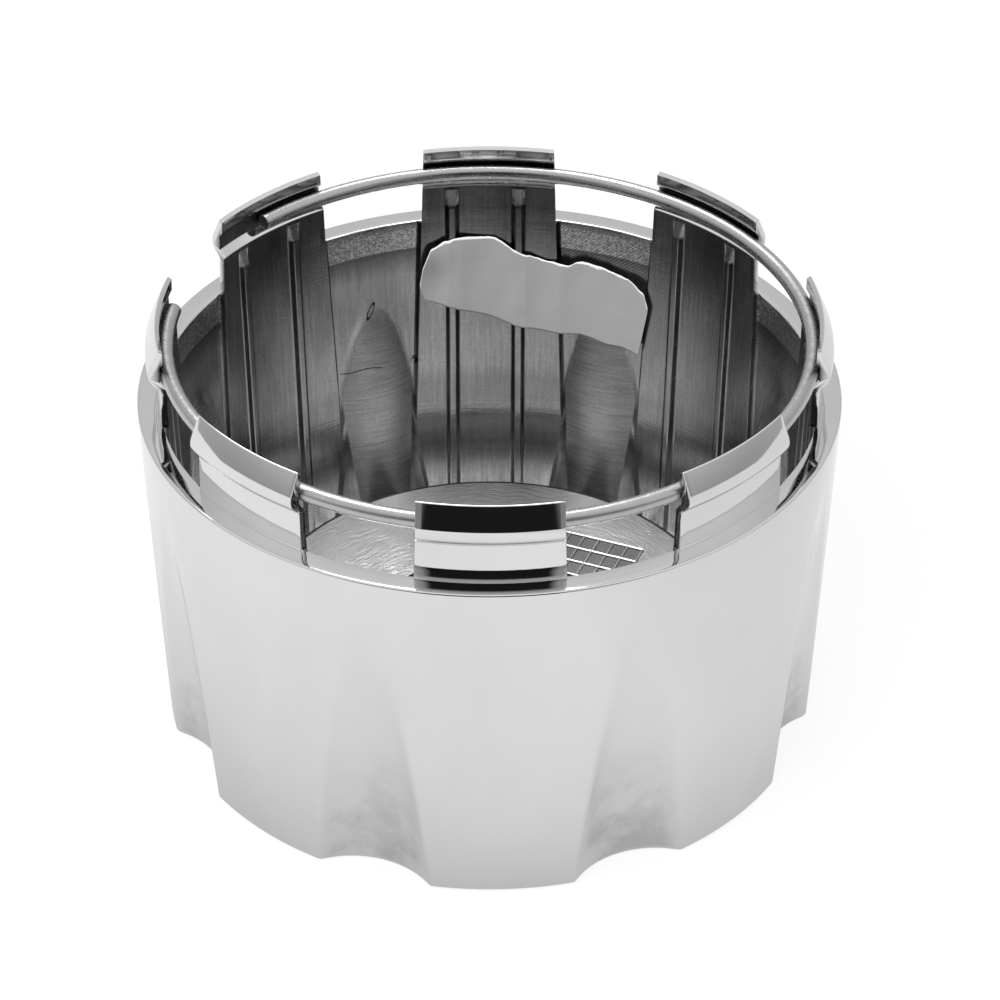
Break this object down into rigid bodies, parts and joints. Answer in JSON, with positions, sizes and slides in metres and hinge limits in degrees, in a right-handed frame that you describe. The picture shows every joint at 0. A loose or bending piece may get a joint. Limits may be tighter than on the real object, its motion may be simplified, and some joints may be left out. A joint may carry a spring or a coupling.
{
  "type": "wheel centre cap",
  "caption": "Round fluted wheel centre cap with a dished face, snap clips on its open rim, an open spring wire ring seated in the clips and a blank label on the inside wall.",
  "frame": {"origin": "centre of the ring round the dished face, at the lowest point, which the cap rests on when it lies face down", "axes": "+Z along the cap's axis, from the face up to the clips; -Y towards the clip in front; +X to the right"},
  "size_m": [0.133, 0.133, 0.0873],
  "materials": {
    "chrome_moulding": "mirror chrome outside, satin chrome inside",
    "spring_wire": "drawn wire, satin",
    "label_paper": "matt paper, blank"
  },
  "bodies": {
    "root": {"cap_body": "chrome_moulding", "retaining_ring": "spring_wire", "paper_label": "label_paper"}
  },
  "joints": []
}
